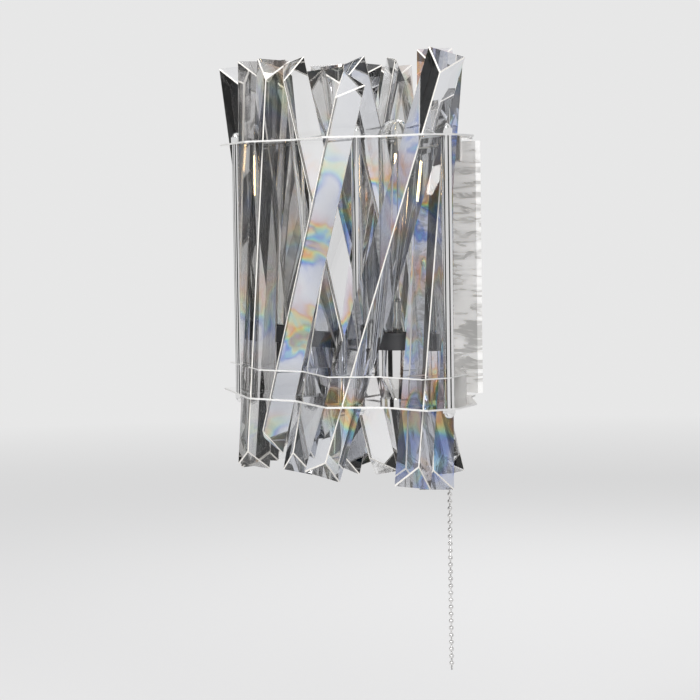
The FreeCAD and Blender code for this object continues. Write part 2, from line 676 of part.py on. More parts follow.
case_tools = fuse("case_tools", [
    on_switch("case_inside", "Sizes.case_radius - Sizes.case_wall", S + "case_height", CASE_FLOOR),
    on_switch("case_floor_hole", "Sizes.nozzle_radius + Sizes.screw_fit",
              "Sizes.case_floor + 2 * Sizes.overshoot", LOWER_TOP + " - Sizes.overshoot")])
keep("switch_case", cut("switch_case",
                        on_switch("case_outside", S + "case_radius", S + "case_height", LOWER_TOP),
                        case_tools))
keep("switch_lid", fuse("switch_lid", [
    on_switch("lid_disc", S + "case_radius", S + "lid_thick", CASE_TOP),
    on_switch("lid_pin", S + "lid_pin_radius", "Sizes.lid_pin_length + Sizes.overshoot",
              CASE_TOP + " - Sizes.lid_pin_length")]))
ROTOR_LOW = "(%s - Sizes.rotor_drop - Sizes.rotor_thick)" % CASE_TOP
rotor_disc = fuse("rotor_disc", [
    on_switch("rotor_round", "Sizes.rotor_radius - Sizes.rotor_arm_width / 2", S + "rotor_thick",
              ROTOR_LOW),
    box("rotor_arm", "2 * Sizes.rotor_radius", S + "rotor_arm_width", S + "rotor_thick",
        SWITCH_X + " - Sizes.rotor_radius", SWITCH_Y + " - Sizes.rotor_arm_width / 2", ROTOR_LOW)])
keep("switch_rotor", cut("switch_rotor", rotor_disc,
                         on_switch("rotor_bore", "Sizes.lid_pin_radius + Sizes.running_fit",
                                   S + "rotor_thick", ROTOR_LOW)))
NOZZLE_LOW = "(%s - Sizes.nozzle_length)" % LOWER_TOP
NOZZLE_TOP = "(%s + Sizes.nozzle_lip_thick)" % CASE_FLOOR
nozzle_body = fuse("nozzle_body", [
    on_switch("nozzle_barrel", S + "nozzle_radius", "%s - %s" % (NOZZLE_TOP, NOZZLE_LOW), NOZZLE_LOW),
    on_switch("nozzle_lip", S + "nozzle_lip_radius", S + "nozzle_lip_thick", CASE_FLOOR)])
keep("switch_nozzle", cut("switch_nozzle", nozzle_body,
                          on_switch("nozzle_bore", S + "nozzle_bore_radius",
                                    "%s - %s" % (NOZZLE_TOP, NOZZLE_LOW), NOZZLE_LOW)))
NUT_LOW = "(%s - Sizes.nozzle_nut_thick)" % LOWER_UNDER
keep("nozzle_nut", cut("nozzle_nut",
                       hexagon("nozzle_hex", S + "nozzle_nut_flats", S + "nozzle_nut_thick",
                               SWITCH_X, SWITCH_Y, NUT_LOW),
                       on_switch("nozzle_nut_bore", "Sizes.nozzle_radius + Sizes.running_fit",
                                 S + "nozzle_nut_thick", NUT_LOW)))
HEAD_TOP = "(%s - Sizes.plunger_head_drop)" % CASE_TOP
HEAD_LOW = "(%s - Sizes.plunger_head_thick)" % HEAD_TOP
BELL_TOP = "(%s - Sizes.plunger_bell_drop)" % NOZZLE_LOW
BELL_LOW = "(%s - Sizes.plunger_bell_length)" % BELL_TOP
keep("switch_plunger", fuse("switch_plunger", [
    on_switch("plunger_head", S + "plunger_head_radius", S + "plunger_head_thick", HEAD_LOW),
    on_switch("plunger_stem", S + "plunger_stem_radius", "%s - %s" % (HEAD_TOP, BELL_TOP), BELL_TOP),
    cone("plunger_bell", S + "plunger_bell_radius", "Sizes.plunger_stem_radius + Sizes.loose_fit",
         S + "plunger_bell_length", SWITCH_X, SWITCH_Y, BELL_LOW)]))

case_top = -size("plate_gap") / 2 + size("case_height")
spring_low = -size("plate_gap") / 2 + size("case_floor") + size("nozzle_lip_thick")
spring_high = case_top - size("plunger_head_drop") - size("plunger_head_thick")
wire_radius = size("spring_wire") / 2
spring_rise = spring_high - spring_low - 2 * wire_radius
coil = Part.makeHelix(spring_rise / size("spring_turns"), spring_rise, size("spring_radius"))
wire_end = Part.Wire(Part.makeCircle(wire_radius, Vector(size("spring_radius"), 0, 0),
                                     Vector(0, 1, 0)))
spring = doc.addObject("Part::Feature", "spring_coil")
spring.Shape = Part.Wire(coil).makePipeShell([wire_end], True, True)
spring.Placement = Placement(Vector(size("switch_x"), size("switch_y"), spring_low + wire_radius),
                             Rotation())
keep("switch_spring", spring)

# ---------------------------------------------------------------- ball chain
def chain_run(name, top, bottom, first_bead, bead_count):
    """A thin rod from top to bottom with beads at an even pitch."""
    x = size("switch_x")
    y = size("switch_y")
    shape = Part.makeCylinder(size("chain_rod_radius"), top - bottom, Vector(x, y, bottom))
    beads = [Part.makeSphere(size("bead_radius"), Vector(x, y, first_bead - step * size("bead_pitch")))
             for step in range(bead_count)]
    item = doc.addObject("Part::Feature", name)
    item.Shape = shape.fuse(beads)
    return item


bell_low = (-size("plate_gap") / 2 - size("nozzle_length") - size("plunger_bell_drop")
            - size("plunger_bell_length"))
upper_count = int(size("upper_beads"))
lower_count = int(size("lower_beads"))
first_bead = bell_low - size("bead_pitch") / 2
pivot_bead = first_bead - upper_count * size("bead_pitch")
bead_edge = size("bead_radius") + size("bead_link_gap")
chain_end = pivot_bead - lower_count * size("bead_pitch") - size("chain_tip_length")
keep("chain_upper", chain_run("upper_run", bell_low, pivot_bead + bead_edge, first_bead, upper_count))
link = ball("link_ball", S + "bead_radius", SWITCH_X, SWITCH_Y, pivot_bead)
keep("chain_link", link)
keep("chain_lower", chain_run("lower_run", pivot_bead - bead_edge, chain_end,
                              pivot_bead - size("bead_pitch"), lower_count))
print("chain pivot bead at z", pivot_bead, "chain end at z", chain_end)

# ---------------------------------------------------------------- terminal block
block_body = box("block_body", S + "block_width", S + "block_length", S + "block_height",
                 "Sizes.block_x - Sizes.block_width / 2", "Sizes.block_y - Sizes.block_length / 2",
                 LOWER_TOP)
block_ways = []
for number in (-1, 0, 1):
    block_ways.append(cylinder("block_way_%d" % (number + 2), S + "block_hole_radius",
                               "Sizes.block_height",
                               S + "block_x",
                               "Sizes.block_y + %d * Sizes.block_length / 3" % number,
                               LOWER_TOP + " + Sizes.block_hole_floor"))
keep("terminal_block", cut("terminal_block", block_body, group("block_ways", block_ways)))

# ---------------------------------------------------------------- check and export
doc.recompute()
faults = []
for item in doc.Objects:
    if "Invalid" in item.State or "Error" in item.State:
        faults.append(item.Name + " failed")
for label, item in nodes.items():
    if item.Shape.isNull() or not item.Shape.isValid() or not item.Shape.Solids:
        faults.append(label + " has no sound shape")
if faults:
    raise SystemExit("\n".join(faults))
os.makedirs("parts", exist_ok=True)
for label, item in nodes.items():
    item.Shape.exportStep("parts/%s.step" % label)
print(len(nodes), "sub-parts")
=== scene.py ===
"""Crystal wall light: the finish of every sub-part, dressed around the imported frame.

Leaning crystal prisms pass through two mirror-bright plates in front of a rippled mirror
tray.  Two tubular bulbs stand in chrome cups between the plates, and a ball chain hangs
from the pull switch.  Everything is in metres, in the frame's own axes.
"""

from __future__ import annotations

import logging
import math
from dataclasses import dataclass
from enum import Enum

import bmesh
import bpy
import numpy as np
from mathutils import Matrix, Vector

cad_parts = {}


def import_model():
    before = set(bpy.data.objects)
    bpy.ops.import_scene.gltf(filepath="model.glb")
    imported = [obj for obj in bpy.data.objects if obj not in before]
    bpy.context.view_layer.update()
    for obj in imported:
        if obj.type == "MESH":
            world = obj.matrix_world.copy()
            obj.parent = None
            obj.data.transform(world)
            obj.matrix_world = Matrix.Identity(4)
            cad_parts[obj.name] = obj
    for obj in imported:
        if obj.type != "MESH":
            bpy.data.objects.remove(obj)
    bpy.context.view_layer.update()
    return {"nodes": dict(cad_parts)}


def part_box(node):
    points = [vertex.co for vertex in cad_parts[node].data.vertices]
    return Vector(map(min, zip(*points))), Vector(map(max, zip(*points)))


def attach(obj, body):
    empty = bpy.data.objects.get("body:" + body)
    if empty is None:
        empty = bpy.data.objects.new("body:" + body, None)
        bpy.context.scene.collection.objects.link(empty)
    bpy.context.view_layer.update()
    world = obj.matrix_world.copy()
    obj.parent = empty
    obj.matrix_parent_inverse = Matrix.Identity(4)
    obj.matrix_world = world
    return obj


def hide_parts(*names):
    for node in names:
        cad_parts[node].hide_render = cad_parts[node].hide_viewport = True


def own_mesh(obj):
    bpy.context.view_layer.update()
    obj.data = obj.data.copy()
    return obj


MM = 0.001
SAME_PLACE = 1e-7  # points nearer than this are one point
LOG = logging.getLogger("crystal_wall_light")
Colour = tuple[float, float, float]


# ------------------------------------------------------------------ mesh building
def placed(name: str, mesh: bpy.types.Mesh) -> bpy.types.Object:
    """Puts a mesh into the scene as an object at the origin."""
    thing = bpy.data.objects.new(name, mesh)
    bpy.context.scene.collection.objects.link(thing)
    return thing


def mesh_object(name: str, points: np.ndarray, faces: np.ndarray, smooth: bool = True) -> bpy.types.Object:
    """Makes an object from points and faces, with doubles merged and faces outwards.

    Args:
        name: the piece's name.
        points: corner positions, n by 3.
        faces: corner numbers, m by 3 or m by 4.
        smooth: whether the faces are smooth shaded.
    Returns:
        The new object, at the origin.
    """
    mesh = bpy.data.meshes.new(name)
    mesh.from_pydata(points.tolist(), [], faces.tolist())
    work = bmesh.new()
    work.from_mesh(mesh)
    bmesh.ops.remove_doubles(work, verts=work.verts, dist=SAME_PLACE)
    bmesh.ops.dissolve_degenerate(work, edges=work.edges, dist=SAME_PLACE)
    bmesh.ops.recalc_face_normals(work, faces=work.faces)
    work.to_mesh(mesh)
    work.free()
    mesh.polygons.foreach_set("use_smooth", np.full(len(mesh.polygons), smooth))
    return placed(name, mesh)


def grid_faces(rows: int, columns: int, wrap: bool) -> np.ndarray:
    """Faces of a grid of points: each cell joins a point to its neighbours.

    Args:
        rows: points along the first parameter.
        columns: points along the second parameter.
        wrap: whether the second parameter closes on itself.
    Returns:
        Corner numbers, cells by 4.
    """
    last = columns if wrap else columns - 1
    i, j = np.meshgrid(np.arange(rows - 1), np.arange(last), indexing="ij")
    k = (j + 1) % columns
    return np.stack([i * columns + j, i * columns + k, (i + 1) * columns + k, (i + 1) * columns + j],
                    -1).reshape(-1, 4)


def lathe_points(profile: np.ndarray, centre: Vector, sides: int = 64) -> np.ndarray:
    """Turns a profile about an upright line: x = r cos a, y = r sin a, z = height.

    Args:
        profile: radius and height pairs.
        centre: a point on the line; heights are counted from it.
        sides: how many steps go round.
    Returns:
        Points, rows times sides by 3.
    """
    angle = np.linspace(0, 2 * math.pi, sides, endpoint=False)
    radius, height = profile[:, :1], profile[:, 1:]
    ring = np.stack([radius * np.cos(angle), radius * np.sin(angle), height + 0 * angle], -1)
    return (ring + np.array(centre)).reshape(-1, 3)


def lathe(name: str, profile: list[tuple[float, float]], centre: Vector, sides: int = 64) -> bpy.types.Object:
    """Makes a turned piece from a profile whose ends lie on the axis or meet each other.

    Args:
        name: the piece's name.
        profile: radius and height pairs.
        centre: a point on the axis.
        sides: how many steps go round.
    Returns:
        The new object.
    """
    line = np.array(profile, float)
    return mesh_object(name, lathe_points(line, centre, sides), grid_faces(len(line), sides, True))


def tube_points(path: np.ndarray, radius: float, sides: int) -> np.ndarray:
    """Carries a circle along a path: each ring stands square to the path there.

    Args:
        path: points along the middle line.
        radius: the tube's radius.
        sides: points round each ring.
    Returns:
        Points, rings times sides by 3, with both ends drawn in to a point.
    """
    along = np.gradient(path, axis=0)
    along /= np.linalg.norm(along, axis=1, keepdims=True)
    upright = abs(along[0, 2]) > 0.9
    start = np.array([1.0, 0.0, 0.0] if upright else [0.0, 0.0, 1.0])
    side = np.cross(along, start)
    side /= np.linalg.norm(side, axis=1, keepdims=True)
    other = np.cross(along, side)
    angle = np.linspace(0, 2 * math.pi, sides, endpoint=False)[None, :, None]
    rings = path[:, None] + radius * (np.cos(angle) * side[:, None] + np.sin(angle) * other[:, None])
    ends = [np.repeat(path[i][None, None], sides, 1) for i in (0, -1)]
    return np.concatenate([ends[0], rings, ends[1]]).reshape(-1, 3)


def tube(name: str, path: np.ndarray, radius: float, sides: int = 10) -> bpy.types.Object:
    """Makes a closed round tube along a path.

    Args:
        name: the piece's name.
        path: points along the middle line.
        radius: the tube's radius.
        sides: points round each ring.
    Returns:
        The new object.
    """
    return mesh_object(name, tube_points(path, radius, sides), grid_faces(len(path) + 2, sides, True))


def joined(name: str, pieces: list[bpy.types.Object]) -> bpy.types.Object:
    """Joins several new objects into one mesh.

    Args:
        name: the joined piece's name.
        pieces: the objects to join, which are used up.
    Returns:
        The joined object.
    """
    work = bmesh.new()
    for piece in pieces:
        work.from_mesh(piece.data)
        bpy.data.objects.remove(piece)
    mesh = bpy.data.meshes.new(name)
    work.to_mesh(mesh)
    work.free()
    return placed(name, mesh)


def middle_of(node: str) -> Vector:
    """The middle of a node's box."""
    low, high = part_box(node)
    return (low + high) / 2


# ------------------------------------------------------------------ shader building
class Nodes:
    """Short calls for wiring the nodes of a material or a node group."""

    def __init__(self, tree: bpy.types.NodeTree) -> None:
        """Keeps the tree that the calls add to."""
        self.tree = tree

    def add(self, kind: str, **settings: object) -> bpy.types.Node:
        """Adds one node.

        Args:
            kind: the node's type without its ShaderNode prefix.
            settings: attributes to set on it.
        Returns:
            The node.
        """
        node = self.tree.nodes.new("ShaderNode" + kind)
        for key, value in settings.items():
            setattr(node, key, value)
        return node

    def join(self, source: bpy.types.NodeSocket, target: bpy.types.NodeSocket) -> None:
        """Links an output to an input."""
        self.tree.links.new(source, target)

    def math(self, operation: str, first: object, second: object = 0.0) -> bpy.types.NodeSocket:
        """Adds a Math node.

        Args:
            operation: the sum it does.
            first: a socket or a number.
            second: a socket or a number.
        Returns:
            Its result.
        """
        node = self.add("Math", operation=operation)
        for place, value in enumerate((first, second)):
            if isinstance(value, bpy.types.NodeSocket):
                self.join(value, node.inputs[place])
            else:
                node.inputs[place].default_value = value
        return node.outputs[0]

    def mix(self, share: object, first: object, second: object) -> bpy.types.NodeSocket:
        """Mixes two colours.

        Args:
            share: how much of the second, a socket or a number.
            first: a socket or a colour.
            second: a socket or a colour.
        Returns:
            The mixed colour.
        """
        node = self.add("Mix", data_type="RGBA")
        for place, value in ((0, share), (6, first), (7, second)):
            if isinstance(value, bpy.types.NodeSocket):
                self.join(value, node.inputs[place])
            else:
                node.inputs[place].default_value = value if place == 0 else (*value, 1.0)
        return node.outputs[2]

    def ramp(self, value: bpy.types.NodeSocket, stops: list[tuple[float, Colour]]) -> bpy.types.NodeSocket:
        """Turns a number into a colour by stops.

        Args:
            value: the number.
            stops: places and colours in order.
        Returns:
            The colour.
        """
        node = self.add("ValToRGB")
        band = node.color_ramp
        while len(band.elements) < len(stops):
            band.elements.new(0.5)
        for element, (place, colour) in zip(band.elements, stops):
            element.position = place
            element.color = (*colour, 1.0)
        self.join(value, node.inputs[0])
        return node.outputs[0]

    def noise(self, vector: bpy.types.NodeSocket, scale: object, detail: float = 2.0,
              distortion: float = 0.0) -> bpy.types.NodeSocket:
        """Adds a Noise texture.

        Args:
            vector: where it is read.
            scale: a socket or a number.
            detail: layers of finer noise.
            distortion: how much it is bent.
        Returns:
            Its value.
        """
        node = self.add("TexNoise")
        self.join(vector, node.inputs["Vector"])
        if isinstance(scale, bpy.types.NodeSocket):
            self.join(scale, node.inputs["Scale"])
        else:
            node.inputs["Scale"].default_value = scale
        node.inputs["Detail"].default_value = detail
        node.inputs["Distortion"].default_value = distortion
        return node.outputs[0]

    def stretched(self, scale: Colour, turn: Colour = (0, 0, 0),
                  place: Colour = (0, 0, 0)) -> bpy.types.NodeSocket:
        """Object coordinates, scaled, turned and moved by a Mapping node.

        Args:
            scale: factors for the three axes.
            turn: angles in radians.
            place: the shift.
        Returns:
            The vector.
        """
        where = self.add("TexCoord")
        mapping = self.add("Mapping")
        mapping.inputs["Scale"].default_value = scale
        mapping.inputs["Rotation"].default_value = turn
        mapping.inputs["Location"].default_value = place
        self.join(where.outputs["Object"], mapping.inputs["Vector"])
        return mapping.outputs[0]


def new_material(name: str) -> tuple[bpy.types.Material, Nodes, bpy.types.Node]:
    """Starts a material.

    Args:
        name: the material's name.
    Returns:
        The material, the builder of its nodes, and its shader.
    """
    material = bpy.data.materials.new(name)
    material.use_nodes = True
    return material, Nodes(material.node_tree), material.node_tree.nodes["Principled BSDF"]


def new_group(name: str, inputs: dict[str, tuple[str, object]],
              outputs: dict[str, str]) -> tuple[bpy.types.NodeTree, Nodes, bpy.types.Node, bpy.types.Node]:
    """Starts a shader node group with named sockets.

    Args:
        name: the group's name.
        inputs: socket type and default for each input.
        outputs: socket type for each output.
    Returns:
        The tree, its builder, its input node and its output node.
    """
    tree = bpy.data.node_groups.new(name, "ShaderNodeTree")
    for label, (kind, default) in inputs.items():
        socket = tree.interface.new_socket(label, in_out="INPUT", socket_type="NodeSocket" + kind)
        socket.default_value = default
    for label, kind in outputs.items():
        tree.interface.new_socket(label, in_out="OUTPUT", socket_type="NodeSocket" + kind)
    nodes = Nodes(tree)
    return tree, nodes, tree.nodes.new("NodeGroupInput"), tree.nodes.new("NodeGroupOutput")


SPECTRUM: list[tuple[float, Colour]] = [
    (0.0, (1, 1, 1)), (0.28, (0.85, 0.88, 1.0)), (0.4, (0.25, 0.36, 0.85)), (0.48, (0.3, 0.72, 0.9)),
    (0.54, (0.6, 0.95, 0.55)), (0.6, (1.0, 0.86, 0.3)), (0.67, (1.0, 0.5, 0.22)),
    (0.76, (0.9, 0.75, 0.78)), (1.0, (1, 1, 1)),
]


def spectral_fire_group() -> bpy.types.NodeTree:
    """Painted rainbow bands where light would split: bands along the height, bent by noise, in patches.

    Returns:
        The group. Its Tint paints rainbow light into what passes through, and its Glow is a painted glow for
        the light split off.
    """
    bend_scale, bend_share = 26.0, 2.2
    patch_scale, patch_sharpness = 13.0, 9.0
    tree, n, inside, outside = new_group(
        "painted_spectral_fire",
        {"Vector": ("Vector", (0, 0, 0)), "Bands": ("Float", 14.0), "Amount": ("Float", 1.0),
         "Patch": ("Float", 0.55)},
        {"Tint": "Color", "Glow": "Color"})
    where = inside.outputs["Vector"]
    parts = n.add("SeparateXYZ")
    n.join(where, parts.inputs[0])
    bend = n.noise(where, bend_scale, 3.0, 0.8)
    climb = n.math("MULTIPLY", parts.outputs[2], inside.outputs["Bands"])
    place = n.math("FRACT", n.math("ADD", climb, n.math("MULTIPLY", bend, bend_share)))
    colour = n.ramp(place, SPECTRUM)
    patch = n.noise(where, patch_scale, 1.0, 0.4)
    edge = n.math("MULTIPLY", n.math("SUBTRACT", patch, inside.outputs["Patch"]), patch_sharpness)
    mask = n.add("Clamp")
    n.join(n.math("MULTIPLY", edge, inside.outputs["Amount"]), mask.inputs[0])
    n.join(n.mix(mask.outputs[0], (1, 1, 1), colour), outside.inputs["Tint"])
    n.join(n.mix(mask.outputs[0], (0, 0, 0), colour), outside.inputs["Glow"])
    return tree


def fine_marks_group() -> bpy.types.NodeTree:
    """Fine handling marks: a faint cloud in the roughness and hairlines in the height.

    Returns:
        The group, with outputs for Roughness and Height.
    """
    hair_stretch, hair_turn = (60, 900, 200), (0.4, 0.2, 0.7)
    tree, n, inside, outside = new_group(
        "fine_marks",
        {"Roughness": ("Float", 0.05), "Cloud": ("Float", 0.04), "Scale": ("Float", 60.0)},
        {"Roughness": "Float", "Height": "Float"})
    cloud = n.noise(n.stretched((1, 1, 1)), inside.outputs["Scale"], 4.0)
    hair = n.noise(n.stretched(hair_stretch, hair_turn), 1.0, 2.0)
    n.join(n.math("ADD", inside.outputs["Roughness"], n.math("MULTIPLY", cloud, inside.outputs["Cloud"])),
           outside.inputs["Roughness"])
    n.join(hair, outside.inputs["Height"])
    return tree


class Marks(Enum):
    """How the height of the fine marks shows."""

    POLISHED = 0.02
    SATIN = 0.12
    MOULDED = 0.3


@dataclass(frozen=True)
class Finish:
    """A plain finish: one colour with fine marks in its gloss and height."""

    name: str
    colour: Colour
    metallic: float = 0.0
    roughness: float = 0.1
    cloud: float = 0.05
    mark_scale: float = 60.0
    marks: Marks = Marks.POLISHED
    shade: float = 0.08
    mark_height: float = 0.1 * MM

    def material(self) -> bpy.types.Material:
        """Builds the material of this finish.

        Returns:
            The material.
        """
        material, n, shader = new_material(self.name)
        shader.inputs["Metallic"].default_value = self.metallic
        marks = n.add("Group")
        marks.node_tree = bpy.data.node_groups["fine_marks"]
        marks.inputs["Roughness"].default_value = self.roughness
        marks.inputs["Cloud"].default_value = self.cloud
        marks.inputs["Scale"].default_value = self.mark_scale
        n.join(marks.outputs["Roughness"], shader.inputs["Roughness"])
        dark = tuple(channel * (1 - self.shade) for channel in self.colour)
        tone = n.noise(n.stretched((1, 1, 1)), self.mark_scale * 0.5, 3.0)
        n.join(n.mix(tone, dark, self.colour), shader.inputs["Base Color"])
        bump = n.add("Bump")
        bump.inputs["Strength"].default_value = self.marks.value
        bump.inputs["Distance"].default_value = self.mark_height
        n.join(marks.outputs["Height"], bump.inputs["Height"])
        n.join(bump.outputs[0], shader.inputs["Normal"])
        return material


@dataclass(frozen=True)
class CrystalFinish:
    """Clear cut crystal, with painted rainbow patches in its colour and a faint painted glow, standing for
    light split into colours.
    """

    name: str
    bands: float
    amount: float
    patch: float
    shift: Colour
    colour: Colour = (0.96, 0.962, 0.968)
    smoke: Colour = (0.77, 0.765, 0.76)
    index: float = 1.56
    glow: float = 0.03
    depth_stretch: Colour = (14, 14, 9)
    depth_turn: Colour = (0.3, 0.5, 0)

    def material(self) -> bpy.types.Material:
        """Builds the material of this crystal.

        Returns:
            The material.
        """
        material, n, shader = new_material(self.name)
        shader.inputs["Roughness"].default_value = 0.0
        shader.inputs["Transmission Weight"].default_value = 1.0
        shader.inputs["IOR"].default_value = self.index
        fire = n.add("Group")
        fire.node_tree = bpy.data.node_groups["painted_spectral_fire"]
        n.join(n.stretched((1, 1, 1), (0, 0, 0), self.shift), fire.inputs["Vector"])
        fire.inputs["Bands"].default_value = self.bands
        fire.inputs["Amount"].default_value = self.amount
        fire.inputs["Patch"].default_value = self.patch
        tint = n.add("Mix", data_type="RGBA", blend_type="MULTIPLY")
        tint.inputs[0].default_value = 1.0
        depth = n.noise(n.stretched(self.depth_stretch, self.depth_turn, self.shift), 1.0, 1.0, 0.6)
        n.join(n.ramp(depth, [(0.4, self.smoke), (0.58, self.colour)]), tint.inputs[6])
        # painted rainbow light is multiplied into the glass colour
        n.join(fire.outputs["Tint"], tint.inputs[7])
        n.join(tint.outputs[2], shader.inputs["Base Color"])
        # painted glow of the split-off rainbow light; the crystal is no lamp
        n.join(fire.outputs["Glow"], shader.inputs["Emission Color"])
        shader.inputs["Emission Strength"].default_value = self.glow
        return material


@dataclass(frozen=True)
class ClearFinish:
    """Thin clear glass with faint drawn streaks."""

    name: str
    colour: Colour = (0.98, 0.98, 0.97)
    index: float = 1.45
    streak_shade: float = 0.97
    streak_stretch: Colour = (90, 90, 12)

    def material(self) -> bpy.types.Material:
        """Builds the material of this glass.

        Returns:
            The material.
        """
        material, n, shader = new_material(self.name)
        shader.inputs["Roughness"].default_value = 0.0
        shader.inputs["Transmission Weight"].default_value = 1.0
        shader.inputs["IOR"].default_value = self.index
        streak = n.noise(n.stretched(self.streak_stretch), 1.0, 2.0)
        dull = tuple(channel * self.streak_shade for channel in self.colour)
        n.join(n.mix(streak, dull, self.colour), shader.inputs["Base Color"])
        return material


@dataclass(frozen=True)
class PolishedSheet:
    """Mirror sheet for the plates, with paler sheared edges that catch light from every side."""

    name: str = "polished_sheet"
    mirror: Colour = (0.9, 0.895, 0.885)
    edge: Colour = (0.95, 0.945, 0.93)
    mirror_roughness: float = 0.04
    edge_roughness: float = 0.35
    edge_metallic: float = 0.25
    cloud: float = 0.05
    cloud_scale: float = 60.0

    def material(self) -> bpy.types.Material:
        """Builds the material: the rim mask is one on the edges, whose normals lie level.

        Returns:
            The material.
        """
        material, n, shader = new_material(self.name)
        facing = n.add("SeparateXYZ")
        n.join(n.add("TexCoord").outputs["Normal"], facing.inputs[0])
        rim = n.math("SUBTRACT", 1.0, n.math("ABSOLUTE", facing.outputs[2]))
        n.join(n.mix(rim, self.mirror, self.edge), shader.inputs["Base Color"])
        metal = n.math("ADD", n.math("MULTIPLY", rim, self.edge_metallic - 1.0), 1.0)
        n.join(metal, shader.inputs["Metallic"])
        cloud = n.math("MULTIPLY", n.noise(n.stretched((1, 1, 1)), self.cloud_scale, 4.0), self.cloud)
        rough = n.math("MULTIPLY", rim, self.edge_roughness - self.mirror_roughness)
        n.join(n.math("ADD", n.math("ADD", rough, self.mirror_roughness), cloud), shader.inputs["Roughness"])
        return material


@dataclass(frozen=True)
class RippledMirror:
    """Rippled bright tray: level streaks of painted caustic light and painted reflection in its colour, and a
    faint painted glow for the light of the lit bulbs before it.
    """

    name: str = "rippled_mirror"
    bright: Colour = (0.97, 0.965, 0.95)
    dark: Colour = (0.66, 0.65, 0.63)
    metallic: float = 0.12
    painted_bulb_light: float = 0.32
    bright_glow: Colour = (1, 0.98, 0.95)
    dark_glow: Colour = (0.45, 0.44, 0.42)
    ripple_stretch: Colour = (34, 34, 210)
    ripple_turn: Colour = (0, 0.12, 0)
    patch_stretch: Colour = (22, 22, 30)
    patch_floor: float = 0.55
    level_low: float = 0.4
    level_high: float = 0.55
    gloss: float = 0.12
    gloss_spread: float = 0.25
    ripple_strength: float = 0.35
    ripple_height: float = 0.4 * MM

    def material(self) -> bpy.types.Material:
        """Builds the material: stretched noise, weighed by patches, is cut to two levels.

        Returns:
            The material.
        """
        material, n, shader = new_material(self.name)
        shader.inputs["Metallic"].default_value = self.metallic
        streaks = n.noise(n.stretched(self.ripple_stretch, self.ripple_turn), 1.0, 3.0, 1.1)
        patches = n.noise(n.stretched(self.patch_stretch), 1.0, 2.0, 0.5)
        level = n.add("MapRange")
        n.join(n.math("MULTIPLY", streaks, n.math("ADD", patches, self.patch_floor)), level.inputs[0])
        level.inputs[1].default_value = self.level_low
        level.inputs[2].default_value = self.level_high
        height = level.outputs[0]
        # painted light and shade: the bright streaks stand for caustic light and reflections of the bulbs,
        # the dark ones for shade; the streak noise also drives the real ripples in the bump
        n.join(n.mix(height, self.dark, self.bright), shader.inputs["Base Color"])
        spread = n.math("MULTIPLY", height, self.gloss_spread)
        n.join(n.math("ADD", spread, self.gloss), shader.inputs["Roughness"])
        # painted glow: the tray is no lamp, its emission stands for the lit bulbs' light falling on it
        n.join(n.mix(height, self.dark_glow, self.bright_glow), shader.inputs["Emission Color"])
        shader.inputs["Emission Strength"].default_value = self.painted_bulb_light
        bump = n.add("Bump")
        bump.inputs["Strength"].default_value = self.ripple_strength
        bump.inputs["Distance"].default_value = self.ripple_height
        n.join(streaks, bump.inputs["Height"])
        n.join(bump.outputs[0], shader.inputs["Normal"])
        return material


@dataclass(frozen=True)
class GlowingWire:
    """The lit filament: warm light, a little hotter in some places than in others."""

    name: str = "lit_filament"
    strength: float = 22.0
    roughness: float = 0.4
    cool_light: Colour = (1.0, 0.62, 0.26)
    hot_light: Colour = (1.0, 0.8, 0.5)
    cool_metal: Colour = (0.6, 0.4, 0.2)
    hot_metal: Colour = (0.7, 0.5, 0.3)
    heat_stretch: Colour = (120, 120, 120)

    def material(self) -> bpy.types.Material:
        """Builds the material of the lit wire.

        Returns:
            The material.
        """
        material, n, shader = new_material(self.name)
        shader.inputs["Metallic"].default_value = 1.0
        shader.inputs["Roughness"].default_value = self.roughness
        heat = n.noise(n.stretched(self.heat_stretch), 1.0, 1.0)
        n.join(n.mix(heat, self.cool_light, self.hot_light), shader.inputs["Emission Color"])
        n.join(n.mix(heat, self.cool_metal, self.hot_metal), shader.inputs["Base Color"])
        shader.inputs["Emission Strength"].default_value = self.strength
        return material


class Finishes:
    """Every finish of the light, built once."""

    def __init__(self) -> None:
        """Builds the node groups first and then the materials."""
        spectral_fire_group()
        fine_marks_group()
        plain = [
            Finish("polished_plating", (0.86, 0.86, 0.86), 1.0, 0.05, 0.06),
            Finish("zinc_plating", (0.62, 0.62, 0.64), 1.0, 0.3, 0.2, 90.0, Marks.SATIN, 0.2),
            Finish("dark_moulding", (0.045, 0.045, 0.048), 0.0, 0.42, 0.15, 160.0, Marks.MOULDED, 0.2),
            Finish("pale_moulding", (0.8, 0.79, 0.76), 0.0, 0.35, 0.15, 140.0, Marks.MOULDED),
            Finish("screw_cap_metal", (0.83, 0.78, 0.66), 1.0, 0.22, 0.15, 80.0, Marks.SATIN),
            Finish("grommet_rubber", (0.02, 0.02, 0.021), 0.0, 0.7, 0.2, 180.0, Marks.MOULDED, 0.3),
            Finish("spring_wire", (0.6, 0.6, 0.62), 1.0, 0.25, 0.15, 90.0, Marks.SATIN),
            # painted highlight: the prism bevels are an opaque pale warm colour standing for bright lines of
            # light along the crystal edges and the warm glints of the lit filaments
            Finish("painted_edge_highlight", (0.97, 0.94, 0.89), 0.0, 0.32, 0.2, 220.0, Marks.SATIN, 0.05),
            Finish("bead_plating", (0.84, 0.83, 0.82), 1.0, 0.12, 0.12, 300.0, Marks.SATIN, 0.15),
        ]
        self.made = {finish.name: finish.material() for finish in plain}
        for finish in (ClearFinish("bulb_glass"), PolishedSheet(), RippledMirror(), GlowingWire()):
            self.made[finish.name] = finish.material()

    def dress(self, thing: bpy.types.Object, name: str) -> None:
        """Puts a finish on a piece, in place of what it has.

        Args:
            thing: the piece.
            name: the finish's name.
        """
        thing.data.materials.clear()
        thing.data.materials.append(self.made[name])


